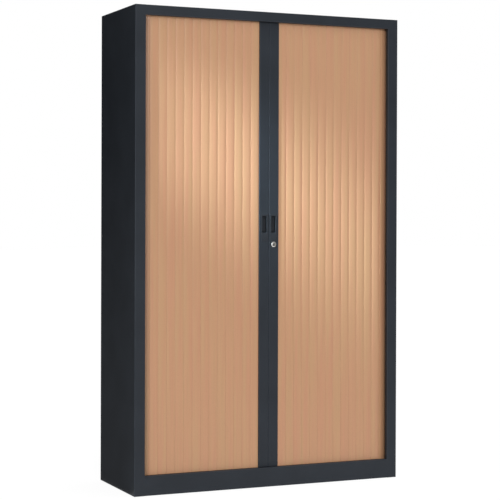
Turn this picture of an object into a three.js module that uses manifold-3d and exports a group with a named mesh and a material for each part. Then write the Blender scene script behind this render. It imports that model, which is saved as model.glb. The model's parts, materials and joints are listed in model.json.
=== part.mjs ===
// Tambour door cabinet: a folded sheet-steel carcass with four shelves behind two side-opening
// curtains. Each curtain is a row of upright slats that hangs on a leading stile, runs in tracks
// at the top and bottom, and goes round the front corner into a pocket beside the shelves.
// Millimetres, +Z up, the front faces -Y, and the origin is on the floor under the middle.

import * as THREE from "three";
import { mergeVertices } from "three/addons/utils/BufferGeometryUtils.js";
import Module from "manifold-3d";

// Overall size
const WIDTH = 1200;
const DEPTH = 430;
const HEIGHT = 1980;
const FLOOR_GAP = 2; // the levelling feet hold the carcass this far off the floor

// Sheet steel
const SHEET = 1;
const BEND = 2; // outer radius of a fold
const GAP = 0.3; // between pieces that are welded, screwed or seated on each other
const OVERRUN = 1; // how far a cutting tool reaches past the face it cuts

// Front frame
const POST_WIDTH = 45;
const POST_RETURN = 18;
const POST_LIP = 12;
const RAIL_HEIGHT = 40;
const PLINTH_HEIGHT = 82;
const PLINTH_FOOT = 20;

// Rear and inner carcass
const REAR_RETURN = 20;
const TRAY_FLANGE = 20;
const TOP_FLANGE = 11; // ends above the ceiling's flange
const RIB_COUNT = 3;
const RIB_WIDTH = 40;
const RIB_SLOPE = 8;
const RIB_DEPTH = 4;
const RIB_END_GAP = 60; // from the inner floor and ceiling

// Stiles, the leading edges of the curtains
const STILE_WIDTH = 43.8;
const STILE_DEPTH = 22;
const STILE_LIP = 9;
const STILE_WALL = 1.2;
const STILE_SETBACK = 20; // from the front of the posts to the front of the stiles
const STILE_END_GAP = 1; // above the bottom track and below the top track
const MEETING_GAP = 1; // between the two stiles when the cabinet is closed

// Slats
const CURTAIN_SETBACK = 24; // from the front of the posts to the crown of the slats
const FLAT_SLATS = 13; // slats that show flat in front; one more stands turned in the corner
const CORNER_ROOM = 26.5; // from the end of the flat row to the inner edge of the post
const SLAT_EDGE = 0.15; // what each long edge keeps back from the pitch line
const SLAT_WALL = 1.6;
const CROWN = 0.8; // how far the face falls from its middle to its long edges
const CROWN_STEPS = 8;
const SHOULDER_RUN = 0.8; // the broken corners of the face
const SHOULDER_FALL = 0.6;
const FLANGE_WALL = 1.3; // the flat flange that laps behind the next slat
const FLANGE_ROOT = 1.9; // the web that joins it to the face
const FLANGE_REACH = 5;
const LAP_GAP = 0.3; // between a flange and the next slat's free edge
const STACK_PITCH = 3.6; // one stored slat to the next, front to back
const CORNER_TURN = 23; // degrees that the last slat is turned in the corner
const CORNER_LIFT = 1.3; // how far forward its free edge rides over the flange before it
const CORNER_SHIFT = 1; // and how far outwards

// Tracks
const TRACK_HEIGHT = 8;
const TRACK_FLOOR = 2;
const TRACK_WALL = 3;
const GROOVE_PLAY = 0.7; // beside a slat, on each side
const SLAT_END_PLAY = 1; // between a slat's end and the floor of its groove
const BEND_RADIUS = 30; // at the centre line of the groove
const BEND_STEPS = 6;
const REAR_RUN = 130;
const REAR_GAP = 5; // between the rear run and the ribs of the back panel
const BAY_MARGIN = 3; // round what stands in the open bay at the corner
const BAY_TAIL = 24; // room behind the stored stack for the turned slat

// Uprights and shelves
const UPRIGHT_INSET = 15; // from the inner edge of the post to the shelf side of the upright
const UPRIGHT_FLANGE = 8;
const UPRIGHT_SETBACK = 87; // from the front of the posts
const SHELF_REAR_GAP = 4; // in front of the rear run
const SHELF_COUNT = 4;
const SHELF_FRONT_FOLD = 25;
const SHELF_FRONT_RETURN = 15;
const SHELF_REAR_FOLD = 15;
const SHELF_INSET = 2; // behind the front of the uprights
const SLOTS_PER_BAY = 6;
const SLOT_WIDTH = 3;
const SLOT_HEIGHT = 12;
const SLOT_COLUMN_INSET = 40; // from the front and rear edges of an upright

// Levelling feet
const FOOT_RADIUS = 20;
const FOOT_DISC = 5;
const FOOT_INSET_X = 90; // from the side of the cabinet
const FOOT_INSET_Y = 65; // from its front and back
const STEM_RADIUS = 5;
const NUT_RADIUS = 9.2;
const NUT_HEIGHT = 9;
const SOCKET_RADIUS = 2.9;
const SOCKET_DEPTH = 5;

// Finger grips
const GRIP_WIDTH = 31;
const GRIP_HEIGHT = 113;
const GRIP_RISE = 128; // from the axis of the lock to the top of a grip
const GRIP_PLATE = 1.5;
const GRIP_CORNER = 3;
const GRIP_OFFSET = 20.5; // from the middle of the cabinet to the middle of a grip
const RECESS_WIDTH = 21;
const RECESS_HEIGHT = 71;
const RECESS_DEPTH = 17;
const RECESS_CORNER = 4;
const RECESS_DROP = 9; // from the top of the plate
const CUP_WALL = 1.5;

// Lock
const LOCK_HEIGHT = 1012; // above the floor
const LOCK_ROSE_RADIUS = 11;
const LOCK_ROSE = 2;
const LOCK_ROSE_CHAMFER = 0.7;
const LOCK_BODY_RADIUS = 9.5;
const LOCK_BODY_LENGTH = 11;
const PLUG_RADIUS = 6.5;
const PLUG_RECESS = 0.3; // behind the face of the rose
const TAIL_RADIUS = 4;
const TAIL_LENGTH = 5;
const KEYWAY_WIDTH = 1.8;
const KEYWAY_HEIGHT = 8;
const KEYWAY_DEPTH = 6;
const HOOK_PLATE = 2.5;
const HOOK_HALF_WIDTH = 5;
const HOOK_REACH = 32; // from the axis of the lock to the tip
const HOOK_TOOTH = 7; // length of the tooth along the hook
const HOOK_TOOTH_FALL = 6; // how far the tooth stands out of the hook's edge
const HOOK_SLOT_BELOW = 8; // from the axis to the lower end of the slots in the stiles
const HOOK_SLOT_ABOVE = 30;
const HOOK_SLOT_MARGIN = 1.2; // in front of the hook and behind it

// Glides in the ends of the stiles
const GLIDE_PLUG = 25; // how deep it sits in the stile
const GLIDE_PLAY = 0.4; // beside it in the stile

const ROUND_SIDES = 24;
const CORNER_SEGMENTS = 4;
const QUARTER = Math.PI / 2;

// Places worked out from the sizes above; x is given for the right-hand half
const HALF_WIDTH = WIDTH / 2;
const FRONT = -DEPTH / 2;
const REAR = DEPTH / 2;
const POST_INNER = HALF_WIDTH - POST_WIDTH;
const BACK_FACE = REAR - SHEET - GAP;
const TRAY_REAR = BACK_FACE - SHEET - GAP;
const INSIDE_X = HALF_WIDTH - SHEET - GAP;
const RAIL_BOTTOM = HEIGHT - RAIL_HEIGHT;
const DECK_TOP = PLINTH_HEIGHT - TRACK_HEIGHT - GAP;
const CEILING_BOTTOM = RAIL_BOTTOM + TRACK_HEIGHT + GAP;
const STILE_INNER = MEETING_GAP / 2;
const STILE_OUTER = STILE_INNER + STILE_WIDTH;
const STILE_FRONT = FRONT + STILE_SETBACK;
const STILE_BACK = STILE_FRONT + STILE_DEPTH;
const STILE_BOTTOM = PLINTH_HEIGHT + STILE_END_GAP;
const STILE_TOP = RAIL_BOTTOM - STILE_END_GAP;
const CURTAIN_FRONT = FRONT + CURTAIN_SETBACK;
const FLAT_END = POST_INNER - CORNER_ROOM;
const SLAT_PITCH = (FLAT_END - STILE_OUTER) / FLAT_SLATS;
const SLAT_EDGE_DEPTH = CROWN + SHOULDER_FALL;
const FLANGE_FACE = CROWN + SLAT_WALL + LAP_GAP;
const SLAT_DEPTH = FLANGE_FACE + FLANGE_WALL;
const SLAT_BOTTOM = DECK_TOP + GAP + TRACK_FLOOR + SLAT_END_PLAY;
const SLAT_TOP = CEILING_BOTTOM - GAP - TRACK_FLOOR - SLAT_END_PLAY;
const GROOVE_HALF = SLAT_DEPTH / 2 + GROOVE_PLAY;
const TRACK_HALF = GROOVE_HALF + TRACK_WALL;
const FRONT_RUN_Y = CURTAIN_FRONT + SLAT_DEPTH / 2;
const REAR_RUN_Y = TRAY_REAR - RIB_DEPTH - REAR_GAP - TRACK_HALF;
const LEDGE_REAR = FRONT_RUN_Y - TRACK_HALF - GAP;
const STORED_DEPTH = CURTAIN_FRONT + (FLAT_SLATS - 1) * STACK_PITCH + SLAT_DEPTH;
const UPRIGHT_X = POST_INNER - UPRIGHT_INSET;
const UPRIGHT_FRONT = FRONT + UPRIGHT_SETBACK;
const UPRIGHT_REAR = REAR_RUN_Y - BEND_RADIUS; // where the rear corner begins
const SHELF_REAR = REAR_RUN_Y - TRACK_HALF - SHELF_REAR_GAP;
const BAY_HEIGHT = (RAIL_BOTTOM - PLINTH_HEIGHT) / (SHELF_COUNT + 1);
const GRIP_TOP = LOCK_HEIGHT + GRIP_RISE;

const wasm = await Module();
wasm.setup();

// Finishes
const finish = (color, roughness, metalness) =>
  new THREE.MeshStandardMaterial({ color, roughness, metalness, flatShading: true });
const POWDER_COAT = finish("#33383c", 0.55, 0);
const STILE_LACQUER = finish("#363b40", 0.5, 0);
const BEECH_FOIL = finish("#c49876", 0.45, 0);
const TRACK_PLASTIC = finish("#1c1d1f", 0.5, 0);
const GRIP_PLASTIC = finish("#25282b", 0.45, 0);
const NICKEL = finish("#c9c7c2", 0.25, 1);
const ZINC_STEEL = finish("#9a9da0", 0.4, 1);

// A closed solid that manifold-3d can cut, from any three.js geometry
function solidOf(geometry) {
  const bare = new THREE.BufferGeometry();
  bare.setAttribute("position", geometry.getAttribute("position"));
  bare.setIndex(geometry.index);
  const merged = mergeVertices(bare);
  const mesh = new wasm.Mesh({
    numProp: 3,
    vertProperties: merged.getAttribute("position").array,
    triVerts: new Uint32Array(merged.index.array),
  });
  return new wasm.Manifold(mesh);
}

function geometryOf(solid) {
  const mesh = solid.getMesh();
  const geometry = new THREE.BufferGeometry();
  geometry.setAttribute("position", new THREE.BufferAttribute(mesh.vertProperties, 3));
  geometry.setIndex(new THREE.BufferAttribute(mesh.triVerts, 1));
  return geometry;
}

function join(...geometries) {
  return geometryOf(geometries.map(solidOf).reduce((sum, solid) => sum.add(solid)));
}

function cut(geometry, ...tools) {
  return geometryOf(tools.map(solidOf).reduce((rest, tool) => rest.subtract(tool), solidOf(geometry)));
}

// An upright box between two opposite corners
function block(x0, x1, y0, y1, z0, z1) {
  const box = new THREE.BoxGeometry(x1 - x0, y1 - y0, z1 - z0);
  return box.translate((x0 + x1) / 2, (y0 + y1) / 2, (z0 + z1) / 2);
}

const shapeOf = (points) => new THREE.Shape(points.map(([x, y]) => new THREE.Vector2(x, y)));

function extruded(shape, depth) {
  return new THREE.ExtrudeGeometry(shape, {
    depth,
    bevelEnabled: false,
    curveSegments: CORNER_SEGMENTS,
  });
}

// A plan outline (x, y) raised from z0 to z1
function raised(shape, z0, z1) {
  return extruded(shape, z1 - z0).translate(0, 0, z0);
}

// A side profile (y, z) run across the cabinet from x0 to x1
function runAcross(shape, x0, x1) {
  const turn = new THREE.Matrix4().makeBasis(
    new THREE.Vector3(0, 1, 0),
    new THREE.Vector3(0, 0, 1),
    new THREE.Vector3(1, 0, 0),
  );
  return extruded(shape, x1 - x0).applyMatrix4(turn).translate(x0, 0, 0);
}

// A front view outline (x, z) from its rear face forward by a depth
function broughtForward(shape, yRear, depth) {
  const turn = new THREE.Matrix4().makeBasis(
    new THREE.Vector3(1, 0, 0),
    new THREE.Vector3(0, 0, 1),
    new THREE.Vector3(0, -1, 0),
  );
  return extruded(shape, depth).applyMatrix4(turn).translate(0, yRear, 0);
}

// A round piece about a front-to-back axis; the profile is (radius, y) and closes on itself
function turnedAboutY(profile, x, z) {
  const points = profile.map(([radius, y]) => new THREE.Vector2(radius, y));
  const lathe = new THREE.LatheGeometry([...points, points[0]], ROUND_SIDES);
  return lathe.translate(x, 0, z);
}

// The section of a folded sheet. The corners are those of its outer faces, the folds are right
// angles and all turn the same way, and the sheet's thickness lies on the inside of the turn.
function foldedSheet(corners, thickness) {
  const points = corners.map(([x, y]) => new THREE.Vector2(x, y));
  const legs = points.slice(1).map((point, i) => point.clone().sub(points[i]).normalize());
  const side = Math.sign(legs[0].cross(legs[1]));
  const inward = legs.map((leg) => new THREE.Vector2(-leg.y, leg.x).multiplyScalar(side));
  const outer = [points[0]];
  const inner = [points[0].clone().addScaledVector(inward[0], thickness)];
  for (let i = 1; i < legs.length; i++) {
    const centre = points[i].clone().addScaledVector(legs[i - 1], -BEND).addScaledVector(inward[i - 1], BEND);
    for (let step = 0; step <= CORNER_SEGMENTS; step++) {
      const angle = (QUARTER * step) / CORNER_SEGMENTS;
      const ray = legs[i - 1].clone().multiplyScalar(Math.sin(angle));
      ray.addScaledVector(inward[i - 1], -Math.cos(angle));
      outer.push(centre.clone().addScaledVector(ray, BEND));
      inner.push(centre.clone().addScaledVector(ray, BEND - thickness));
    }
  }
  outer.push(points.at(-1));
  inner.push(points.at(-1).clone().addScaledVector(inward.at(-1), thickness));
  return new THREE.Shape([...outer, ...inner.reverse()]);
}

// A rectangle with round corners, centred on (x, z)
function roundedRectangle(x, z, width, height, radius) {
  const shape = new THREE.Shape();
  const right = x + width / 2 - radius;
  const left = x - width / 2 + radius;
  const top = z + height / 2 - radius;
  const bottom = z - height / 2 + radius;
  shape.absarc(right, bottom, radius, -QUARTER, 0);
  shape.absarc(right, top, radius, 0, QUARTER);
  shape.absarc(left, top, radius, QUARTER, 2 * QUARTER);
  shape.absarc(left, bottom, radius, 2 * QUARTER, 3 * QUARTER);
  return shape;
}

function add(parent, name, geometry, material) {
  const mesh = new THREE.Mesh(geometry, material);
  mesh.name = name;
  parent.add(mesh);
  return mesh;
}

// Side panel: rear return, side, front post, and the post's return and lip, which stop under the
// top panel
function sidePanel() {
  const section = foldedSheet(
    [
      [HALF_WIDTH - REAR_RETURN, REAR],
      [HALF_WIDTH, REAR],
      [HALF_WIDTH, FRONT],
      [POST_INNER, FRONT],
      [POST_INNER, FRONT + POST_RETURN],
      [POST_INNER + POST_LIP, FRONT + POST_RETURN],
    ],
    SHEET,
  );
  const underTop = block(
    POST_INNER - OVERRUN,
    INSIDE_X,
    FRONT + SHEET,
    FRONT + POST_RETURN + OVERRUN,
    HEIGHT - SHEET - GAP,
    HEIGHT + OVERRUN,
  );
  return cut(raised(section, FLOOR_GAP, HEIGHT), underTop);
}

// Top panel: rear flange, top, and the front rail with its return and lip between the posts
function topPanel() {
  const profile = foldedSheet(
    [
      [TRAY_REAR, HEIGHT - TOP_FLANGE],
      [TRAY_REAR, HEIGHT],
      [FRONT, HEIGHT],
      [FRONT, RAIL_BOTTOM],
      [LEDGE_REAR, RAIL_BOTTOM],
      [LEDGE_REAR, CEILING_BOTTOM - GAP],
    ],
    SHEET,
  );
  const reach = POST_INNER - GAP;
  const wings = block(-INSIDE_X, INSIDE_X, FRONT + SHEET + GAP, TRAY_REAR - BEND, HEIGHT - SHEET, HEIGHT);
  return join(runAcross(profile, -reach, reach), wings);
}

// Inner floor or ceiling that carries the tracks: a tray with a flange at its front and rear
function innerTray(face, away) {
  const front = FRONT + SHEET + GAP;
  const rim = face + away * TRAY_FLANGE;
  const profile = foldedSheet(
    [
      [front, rim],
      [front, face],
      [TRAY_REAR, face],
      [TRAY_REAR, rim],
    ],
    SHEET,
  );
  const reach = POST_INNER - SHEET - GAP;
  const wingFront = FRONT + POST_RETURN + GAP;
  const low = Math.min(face, face + away * SHEET);
  const wings = block(-INSIDE_X, INSIDE_X, wingFront, TRAY_REAR - BEND, low, low + SHEET);
  return join(runAcross(profile, -reach, reach), wings);
}

const footPlaces = [
  ["front_left", -1, -1],
  ["front_right", 1, -1],
  ["rear_left", -1, 1],
  ["rear_right", 1, 1],
].map(([name, sideX, sideY]) => ({
  name,
  x: sideX * (HALF_WIDTH - FOOT_INSET_X),
  y: sideY * (REAR - FOOT_INSET_Y),
}));

// An upright cylinder, or a prism with few sides
function column(x, y, radius, z0, z1, sides) {
  const cylinder = new THREE.CylinderGeometry(radius, radius, z1 - z0, sides);
  return cylinder.rotateX(QUARTER).translate(x, y, (z0 + z1) / 2);
}

// Base deck: the inner floor, with a nut welded under it for each levelling foot
function baseDeck() {
  const nutTop = DECK_TOP - SHEET;
  const nuts = footPlaces.map(({ x, y }) => column(x, y, NUT_RADIUS, nutTop - NUT_HEIGHT, DECK_TOP, 6));
  const bores = footPlaces.map(({ x, y }) =>
    column(x, y, STEM_RADIUS + GAP, nutTop - NUT_HEIGHT - OVERRUN, DECK_TOP + OVERRUN, ROUND_SIDES),
  );
  return cut(join(innerTray(DECK_TOP, -1), ...nuts), ...bores);
}

function plinth() {
  const profile = foldedSheet(
    [
      [FRONT + PLINTH_FOOT, FLOOR_GAP],
      [FRONT, FLOOR_GAP],
      [FRONT, PLINTH_HEIGHT],
      [LEDGE_REAR, PLINTH_HEIGHT],
      [LEDGE_REAR, DECK_TOP + GAP],
    ],
    SHEET,
  );
  return runAcross(profile, -POST_INNER + GAP, POST_INNER - GAP);
}

// Back panel: one sheet with hollow stiffening ribs pressed forward, short of the floor and ceiling
function backPanel() {
  const sheet = block(-INSIDE_X, INSIDE_X, BACK_FACE - SHEET, BACK_FACE, FLOOR_GAP, HEIGHT);
  const spacing = (2 * INSIDE_X) / (RIB_COUNT + 1);
  const bottom = DECK_TOP + RIB_END_GAP;
  const top = CEILING_BOTTOM - RIB_END_GAP;
  const prism = (middle, inset, root, end) => {
    const foot = RIB_WIDTH / 2 - inset;
    const crest = foot - RIB_SLOPE;
    const outline = [
      [middle - foot, root],
      [middle - crest, BACK_FACE - SHEET - RIB_DEPTH + inset],
      [middle + crest, BACK_FACE - SHEET - RIB_DEPTH + inset],
      [middle + foot, root],
    ];
    return raised(shapeOf(outline), bottom + end, top - end);
  };
  const middles = Array.from({ length: RIB_COUNT }, (_, i) => -INSIDE_X + (i + 1) * spacing);
  const ribs = middles.map((middle) => prism(middle, 0, BACK_FACE - SHEET / 2, 0));
  const hollows = middles.map((middle) => prism(middle, SHEET, BACK_FACE + OVERRUN, SHEET));
  return cut(join(sheet, ...ribs), ...hollows);
}

// Slotted upright that closes the curtain pocket and carries the shelves
function innerUpright() {
  const section = foldedSheet(
    [
      [UPRIGHT_X + UPRIGHT_FLANGE, UPRIGHT_FRONT],
      [UPRIGHT_X, UPRIGHT_FRONT],
      [UPRIGHT_X, UPRIGHT_REAR],
      [UPRIGHT_X + UPRIGHT_FLANGE, UPRIGHT_REAR],
    ],
    SHEET,
  );
  const plate = raised(section, DECK_TOP + GAP, CEILING_BOTTOM - GAP);
  const spacing = BAY_HEIGHT / SLOTS_PER_BAY;
  const slots = [];
  for (const y of [UPRIGHT_FRONT + SLOT_COLUMN_INSET, UPRIGHT_REAR - SLOT_COLUMN_INSET])
    for (let i = 1; i < SLOTS_PER_BAY * (SHELF_COUNT + 1); i++) {
      const z = PLINTH_HEIGHT + i * spacing;
      slots.push(
        block(
          UPRIGHT_X - OVERRUN,
          UPRIGHT_X + SHEET + OVERRUN,
          y - SLOT_WIDTH / 2,
          y + SLOT_WIDTH / 2,
          z - SLOT_HEIGHT / 2,
          z + SLOT_HEIGHT / 2,
        ),
      );
    }
  return cut(plate, ...slots);
}

// Shelf: a tray with a boxed front edge and a rear fold
function shelf(top) {
  const front = UPRIGHT_FRONT + SHELF_INSET;
  const profile = foldedSheet(
    [
      [front + SHELF_FRONT_RETURN, top - SHELF_FRONT_FOLD],
      [front, top - SHELF_FRONT_FOLD],
      [front, top],
      [SHELF_REAR, top],
      [SHELF_REAR, top - SHELF_REAR_FOLD],
    ],
    SHEET,
  );
  return runAcross(profile, -UPRIGHT_X + GAP, UPRIGHT_X - GAP);
}

// The line of the track moved outwards by an offset: along the front, round the front corner,
// back beside the shelves, round the rear corner and along the back
function trackLine(offset) {
  const line = [[STILE_INNER, FRONT_RUN_Y - offset]];
  const radius = BEND_RADIUS + offset;
  for (let i = 0; i <= BEND_STEPS; i++) {
    const angle = (QUARTER * i) / BEND_STEPS;
    line.push([FLAT_END + radius * Math.sin(angle), FRONT_RUN_Y + BEND_RADIUS - radius * Math.cos(angle)]);
  }
  for (let i = 0; i <= BEND_STEPS; i++) {
    const angle = (QUARTER * i) / BEND_STEPS;
    line.push([FLAT_END + radius * Math.cos(angle), REAR_RUN_Y - BEND_RADIUS + radius * Math.sin(angle)]);
  }
  line.push([FLAT_END - REAR_RUN, REAR_RUN_Y + offset]);
  return line;
}

function trackBand(half, z0, z1) {
  return raised(shapeOf([...trackLine(half), ...trackLine(-half).reverse()]), z0, z1);
}

// Track: a band with a groove for the slat ends. Its mouth faces up at the bottom of the cabinet
// and down at the top. The groove opens into a wide bay where the slats turn the front corner.
function track(seat, towards) {
  const face = seat + towards * TRACK_HEIGHT;
  const grooveFloor = seat + towards * TRACK_FLOOR;
  const mouth = face + towards * OVERRUN;
  const low = Math.min(grooveFloor, mouth);
  const high = Math.max(grooveFloor, mouth);
  const band = trackBand(TRACK_HALF, Math.min(seat, face), Math.max(seat, face));
  const groove = trackBand(GROOVE_HALF, low, high);
  const ends = [
    block(
      STILE_INNER - OVERRUN,
      STILE_INNER + OVERRUN,
      FRONT_RUN_Y - GROOVE_HALF,
      FRONT_RUN_Y + GROOVE_HALF,
      low,
      high,
    ),
    block(
      FLAT_END - REAR_RUN - OVERRUN,
      FLAT_END - REAR_RUN + OVERRUN,
      REAR_RUN_Y - GROOVE_HALF,
      REAR_RUN_Y + GROOVE_HALF,
      low,
      high,
    ),
  ];
  const bay = block(
    FLAT_END - BAY_MARGIN,
    HALF_WIDTH,
    FRONT,
    STORED_DEPTH + BAY_MARGIN + BAY_TAIL,
    low,
    high,
  );
  return cut(band, groove, ...ends, bay);
}

// Slat: a thin crowned face with broken corners, and a flat flange at the outer edge that laps
// behind the next slat. Points are (across, back from the crown), starting at the free edge.
function slatSection() {
  const near = SLAT_EDGE;
  const far = SLAT_PITCH - SLAT_EDGE;
  const middle = SLAT_PITCH / 2;
  const fall = (x) => CROWN * ((x - middle) / (middle - near)) ** 2;
  const curve = (from, to, back) =>
    Array.from({ length: CROWN_STEPS + 1 }, (_, i) => {
      const x = from + ((to - from) * i) / CROWN_STEPS;
      return [x, fall(x) + back];
    });
  return [
    [near, SLAT_EDGE_DEPTH],
    ...curve(near + SHOULDER_RUN, far - SHOULDER_RUN, 0),
    [far, SLAT_EDGE_DEPTH],
    [far, FLANGE_FACE],
    [SLAT_PITCH + FLANGE_REACH, FLANGE_FACE],
    [SLAT_PITCH + FLANGE_REACH, SLAT_DEPTH],
    [far - FLANGE_ROOT, SLAT_DEPTH],
    ...curve(far - FLANGE_ROOT, near, SLAT_WALL),
  ];
}

// Leading stile: a folded channel, open at the back, cut out for the grip, the lock and the hook
function stile(withLock) {
  const section = foldedSheet(
    [
      [STILE_INNER + STILE_LIP, STILE_BACK],
      [STILE_INNER, STILE_BACK],
      [STILE_INNER, STILE_FRONT],
      [STILE_OUTER, STILE_FRONT],
      [STILE_OUTER, STILE_BACK],
      [STILE_OUTER - STILE_LIP, STILE_BACK],
    ],
    STILE_WALL,
  );
  const cupWidth = RECESS_WIDTH + 2 * (CUP_WALL + GAP);
  const cupHeight = RECESS_HEIGHT + 2 * (CUP_WALL + GAP);
  const cupCorner = RECESS_CORNER + CUP_WALL + GAP;
  const cupHole = broughtForward(
    roundedRectangle(GRIP_OFFSET, recessMiddle, cupWidth, cupHeight, cupCorner),
    STILE_FRONT + STILE_WALL + OVERRUN,
    STILE_WALL + 2 * OVERRUN,
  );
  const hookSlot = block(
    STILE_INNER - OVERRUN,
    STILE_INNER + BEND + OVERRUN,
    hookFront - HOOK_SLOT_MARGIN,
    hookFront + HOOK_PLATE + HOOK_SLOT_MARGIN,
    LOCK_HEIGHT - HOOK_SLOT_BELOW,
    LOCK_HEIGHT + HOOK_SLOT_ABOVE,
  );
  const tools = [cupHole, hookSlot];
  if (withLock)
    tools.push(
      turnedAboutY(
        [
          [0, STILE_FRONT - OVERRUN],
          [LOCK_BODY_RADIUS + GAP, STILE_FRONT - OVERRUN],
          [LOCK_BODY_RADIUS + GAP, STILE_FRONT + STILE_WALL + OVERRUN],
          [0, STILE_FRONT + STILE_WALL + OVERRUN],
        ],
        lockX,
        LOCK_HEIGHT,
      ),
    );
  return cut(raised(section, STILE_BOTTOM, STILE_TOP), ...tools);
}

const recessMiddle = GRIP_TOP - RECESS_DROP - RECESS_HEIGHT / 2;
const plateRear = STILE_FRONT - GAP;

// Finger grip: a thin plate on the stile with a cup let into it
function grip() {
  const plate = broughtForward(
    roundedRectangle(GRIP_OFFSET, GRIP_TOP - GRIP_HEIGHT / 2, GRIP_WIDTH, GRIP_HEIGHT, GRIP_CORNER),
    plateRear,
    GRIP_PLATE,
  );
  const cup = broughtForward(
    roundedRectangle(
      GRIP_OFFSET,
      recessMiddle,
      RECESS_WIDTH + 2 * CUP_WALL,
      RECESS_HEIGHT + 2 * CUP_WALL,
      RECESS_CORNER + CUP_WALL,
    ),
    plateRear - GRIP_PLATE + RECESS_DEPTH + CUP_WALL,
    RECESS_DEPTH + CUP_WALL - GRIP_PLATE / 2,
  );
  const recess = broughtForward(
    roundedRectangle(GRIP_OFFSET, recessMiddle, RECESS_WIDTH, RECESS_HEIGHT, RECESS_CORNER),
    plateRear - GRIP_PLATE + RECESS_DEPTH,
    RECESS_DEPTH + OVERRUN,
  );
  return cut(join(plate, cup), recess);
}

// Glide: a block pressed into the end of a stile, with a tongue that runs in the track
function glide(end, outwards) {
  const inside = end - outwards * GLIDE_PLUG;
  const tip = end + outwards * (STILE_END_GAP + TRACK_HEIGHT - TRACK_FLOOR - SLAT_END_PLAY);
  const plug = block(
    STILE_INNER + STILE_WALL + GLIDE_PLAY,
    STILE_OUTER - STILE_WALL - GLIDE_PLAY,
    STILE_FRONT + STILE_WALL + GLIDE_PLAY,
    STILE_BACK - STILE_WALL - GLIDE_PLAY,
    Math.min(inside, end),
    Math.max(inside, end),
  );
  const tongueRoot = end - outwards * OVERRUN;
  const tongue = block(
    STILE_INNER + STILE_LIP + GLIDE_PLAY,
    STILE_OUTER - STILE_LIP - GLIDE_PLAY,
    CURTAIN_FRONT,
    CURTAIN_FRONT + SLAT_DEPTH,
    Math.min(tongueRoot, tip),
    Math.max(tongueRoot, tip),
  );
  return join(plug, tongue);
}

// Lock places: the rose sits on the stile, and the hook is carried on the tail of the plug
const lockX = STILE_INNER + STILE_WIDTH / 2;
const roseFace = STILE_FRONT - GAP - LOCK_ROSE;
const lockBack = STILE_FRONT + LOCK_BODY_LENGTH;
const tailRoot = lockBack + GAP;
const hookFront = tailRoot + GAP;

function lockBody() {
  return turnedAboutY(
    [
      [PLUG_RADIUS + GAP, roseFace],
      [LOCK_ROSE_RADIUS - LOCK_ROSE_CHAMFER, roseFace],
      [LOCK_ROSE_RADIUS, roseFace + LOCK_ROSE_CHAMFER],
      [LOCK_ROSE_RADIUS, STILE_FRONT - GAP],
      [LOCK_BODY_RADIUS, STILE_FRONT - GAP],
      [LOCK_BODY_RADIUS, lockBack],
      [PLUG_RADIUS + GAP, lockBack],
    ],
    lockX,
    LOCK_HEIGHT,
  );
}

function lockPlug() {
  const face = roseFace + PLUG_RECESS;
  const plug = turnedAboutY(
    [
      [0, face],
      [PLUG_RADIUS, face],
      [PLUG_RADIUS, tailRoot],
      [TAIL_RADIUS, tailRoot],
      [TAIL_RADIUS, tailRoot + TAIL_LENGTH],
      [0, tailRoot + TAIL_LENGTH],
    ],
    lockX,
    LOCK_HEIGHT,
  );
  const keyway = block(
    lockX - KEYWAY_WIDTH / 2,
    lockX + KEYWAY_WIDTH / 2,
    face - OVERRUN,
    face + KEYWAY_DEPTH,
    LOCK_HEIGHT - KEYWAY_HEIGHT / 2,
    LOCK_HEIGHT + KEYWAY_HEIGHT / 2,
  );
  return cut(plug, keyway);
}

// Hook: it points up while the cabinet is unlocked. A quarter turn lays it through the slots of
// both stiles, where its tooth drops behind the edge of the left one.
function lockHook() {
  const outline = new THREE.Shape();
  outline.absarc(0, 0, HOOK_HALF_WIDTH + TAIL_RADIUS - GAP, Math.PI, 2 * Math.PI);
  outline.lineTo(HOOK_HALF_WIDTH, HOOK_HALF_WIDTH + TAIL_RADIUS);
  outline.lineTo(HOOK_HALF_WIDTH, HOOK_REACH);
  outline.lineTo(-HOOK_HALF_WIDTH, HOOK_REACH);
  outline.lineTo(-HOOK_HALF_WIDTH - HOOK_TOOTH_FALL, HOOK_REACH - HOOK_TOOTH / 3);
  outline.lineTo(-HOOK_HALF_WIDTH - HOOK_TOOTH_FALL, HOOK_REACH - HOOK_TOOTH);
  outline.lineTo(-HOOK_HALF_WIDTH, HOOK_REACH - HOOK_TOOTH);
  outline.lineTo(-HOOK_HALF_WIDTH, HOOK_HALF_WIDTH + TAIL_RADIUS);
  const plate = broughtForward(outline, hookFront + HOOK_PLATE, HOOK_PLATE);
  plate.translate(lockX, 0, LOCK_HEIGHT);
  const hole = turnedAboutY(
    [
      [0, hookFront - OVERRUN],
      [TAIL_RADIUS + GAP, hookFront - OVERRUN],
      [TAIL_RADIUS + GAP, hookFront + HOOK_PLATE + OVERRUN],
      [0, hookFront + HOOK_PLATE + OVERRUN],
    ],
    lockX,
    LOCK_HEIGHT,
  );
  return cut(plate, hole);
}

// Levelling foot: a disc on a screw that goes up through its nut, with a socket in its top
function foot(x, y) {
  const top = DECK_TOP;
  const body = join(
    column(x, y, FOOT_RADIUS, 0, FOOT_DISC, ROUND_SIDES),
    column(x, y, STEM_RADIUS, FOOT_DISC / 2, top, ROUND_SIDES),
  );
  return cut(body, column(x, y, SOCKET_RADIUS, top - SOCKET_DEPTH, top + OVERRUN, 6));
}

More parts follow.
